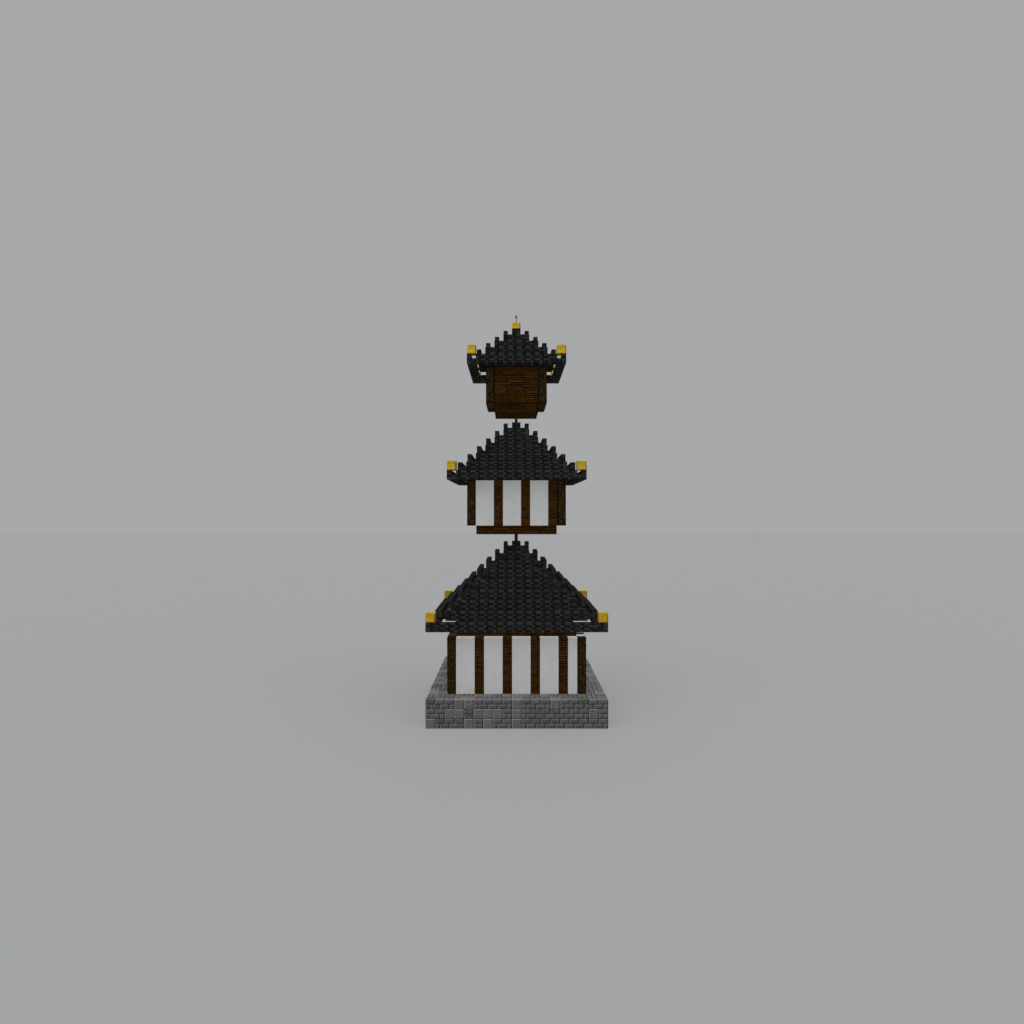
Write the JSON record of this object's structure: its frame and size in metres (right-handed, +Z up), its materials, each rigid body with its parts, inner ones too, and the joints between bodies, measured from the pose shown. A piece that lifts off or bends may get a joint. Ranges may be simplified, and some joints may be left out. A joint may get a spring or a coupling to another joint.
{
  "type": "three-tier pagoda tower, scale model at 1:2",
  "caption": "Tiered pagoda tower on a stone plinth, with timber and plaster storeys, stepped dark roofs, gilt corner blocks and a thin finial; a scale model at 1:2.",
  "frame": {"origin": "on the ground, under the middle of the plinth", "axes": "+Z up, the front that the picture shows faces -Y, +X to the right as seen from the front"},
  "size_m": [9.5, 9.5, 23.0003],
  "materials": {
    "masonry": "matte",
    "log_timber": "matte",
    "dark_timber": "matte",
    "plaster": "matte",
    "roof_brick": "matte",
    "gilt": "satin",
    "copper": "matte"
  },
  "bodies": {
    "root": {"stone_plinth": "masonry", "heart_pillar": "dark_timber", "storey1_front_frame": "log_timber", "storey1_back_frame": "log_timber", "storey1_right_frame": "dark_timber", "storey1_front_plaster": "plaster", "storey1_back_plaster": "plaster", "storey1_right_plaster": "plaster", "storey1_left_boards": "dark_timber", "storey1_ceiling": "dark_timber", "storey2_floor": "dark_timber", "storey2_front_frame": "log_timber", "storey2_back_frame": "log_timber", "storey2_right_frame": "dark_timber", "storey2_left_frame": "dark_timber", "storey2_front_plaster": "plaster", "storey2_back_plaster": "plaster", "storey2_right_plaster": "plaster", "storey2_left_plaster": "plaster", "storey2_ceiling": "dark_timber", "storey3_floor": "dark_timber", "storey3_front_frame": "log_timber", "storey3_back_frame": "log_timber", "storey3_front_boards": "dark_timber", "storey3_back_boards": "dark_timber", "storey3_right_boards": "dark_timber", "storey3_left_boards": "dark_timber", "storey3_ceiling": "dark_timber", "roof1_front_slope": "roof_brick", "roof1_right_slope": "roof_brick", "roof1_back_slope": "roof_brick", "roof1_left_slope": "roof_brick", "roof1_cap": "roof_brick", "roof1_front_left_gilt_block": "gilt", "roof1_front_right_gilt_block": "gilt", "roof1_back_left_gilt_block": "gilt", "roof1_back_right_gilt_block": "gilt", "roof2_front_slope": "roof_brick", "roof2_right_slope": "roof_brick", "roof2_back_slope": "roof_brick", "roof2_left_slope": "roof_brick", "roof2_cap": "roof_brick", "roof2_front_left_gilt_block": "gilt", "roof2_front_right_gilt_block": "gilt", "roof2_back_left_gilt_block": "gilt", "roof2_back_right_gilt_block": "gilt", "roof3_front_slope": "roof_brick", "roof3_right_slope": "roof_brick", "roof3_back_slope": "roof_brick", "roof3_left_slope": "roof_brick", "roof3_cap": "roof_brick", "roof3_front_left_gilt_block": "gilt", "roof3_front_right_gilt_block": "gilt", "roof3_back_left_gilt_block": "gilt", "roof3_back_right_gilt_block": "gilt", "apex_gilt_block": "gilt", "finial": "copper"}
  },
  "joints": []
}
